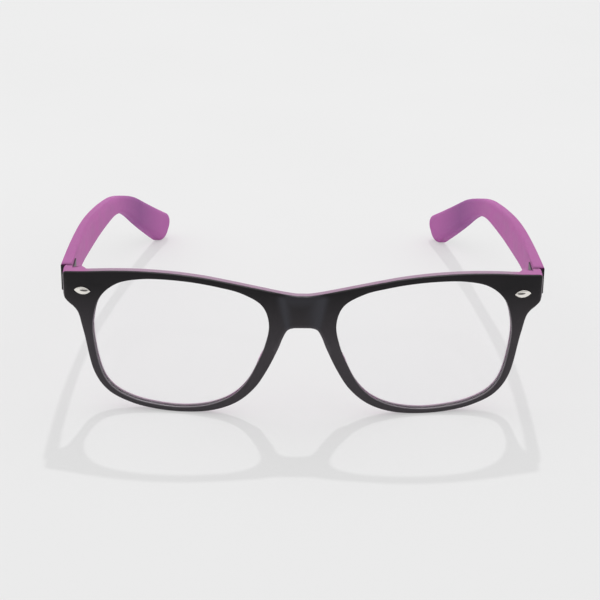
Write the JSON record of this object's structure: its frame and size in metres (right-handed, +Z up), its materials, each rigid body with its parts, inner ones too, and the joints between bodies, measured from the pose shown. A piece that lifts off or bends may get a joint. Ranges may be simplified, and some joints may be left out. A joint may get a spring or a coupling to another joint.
{
  "type": "eyeglasses",
  "caption": "Trapezoid eyeglasses with a matte black front backed in purple, clear curved lenses, moulded nose pads, riveted end pieces and temples that fold on barrel hinges.",
  "frame": {"origin": "on the resting plane, under the middle of the whole width and depth with the temples open", "axes": "+Z up, -Y out of the front's face, +Y along the temples towards the ears, +X towards the wearer's left"},
  "size_m": [0.147, 0.1512, 0.0482],
  "materials": {
    "outer_shot": "matte black, fine moulded grain",
    "inner_shot": "purple, soft satin, slightly milky at thin edges",
    "lens": "clear, polished",
    "rivet": "polished",
    "hinge": "dark nickel, tumbled"
  },
  "bodies": {
    "front": {"front_outer_layer": "outer_shot", "front_inner_layer": "inner_shot", "lens_left": "lens", "lens_right": "lens", "rivet_left": "rivet", "rivet_right": "rivet", "front_hinge_left": "hinge", "front_hinge_right": "hinge", "hinge_screw_left": "hinge", "hinge_screw_right": "hinge"},
    "temple_left": {"temple_core_left": "inner_shot", "temple_skin_left": "outer_shot", "temple_hinge_left": "hinge"},
    "temple_right": {"temple_core_right": "inner_shot", "temple_skin_right": "outer_shot", "temple_hinge_right": "hinge"}
  },
  "joints": [
    {"name": "temple_left_fold", "type": "hinge", "parent": "front", "child": "temple_left", "pos_m": [0.06805, -0.06209, 0.0416], "axis": [0, 0, 1], "range_deg": [0, 81]},
    {"name": "temple_right_fold", "type": "hinge", "parent": "front", "child": "temple_right", "pos_m": [-0.06805, -0.06209, 0.0416], "axis": [0, 0, -1], "range_deg": [0, 72]}
  ]
}
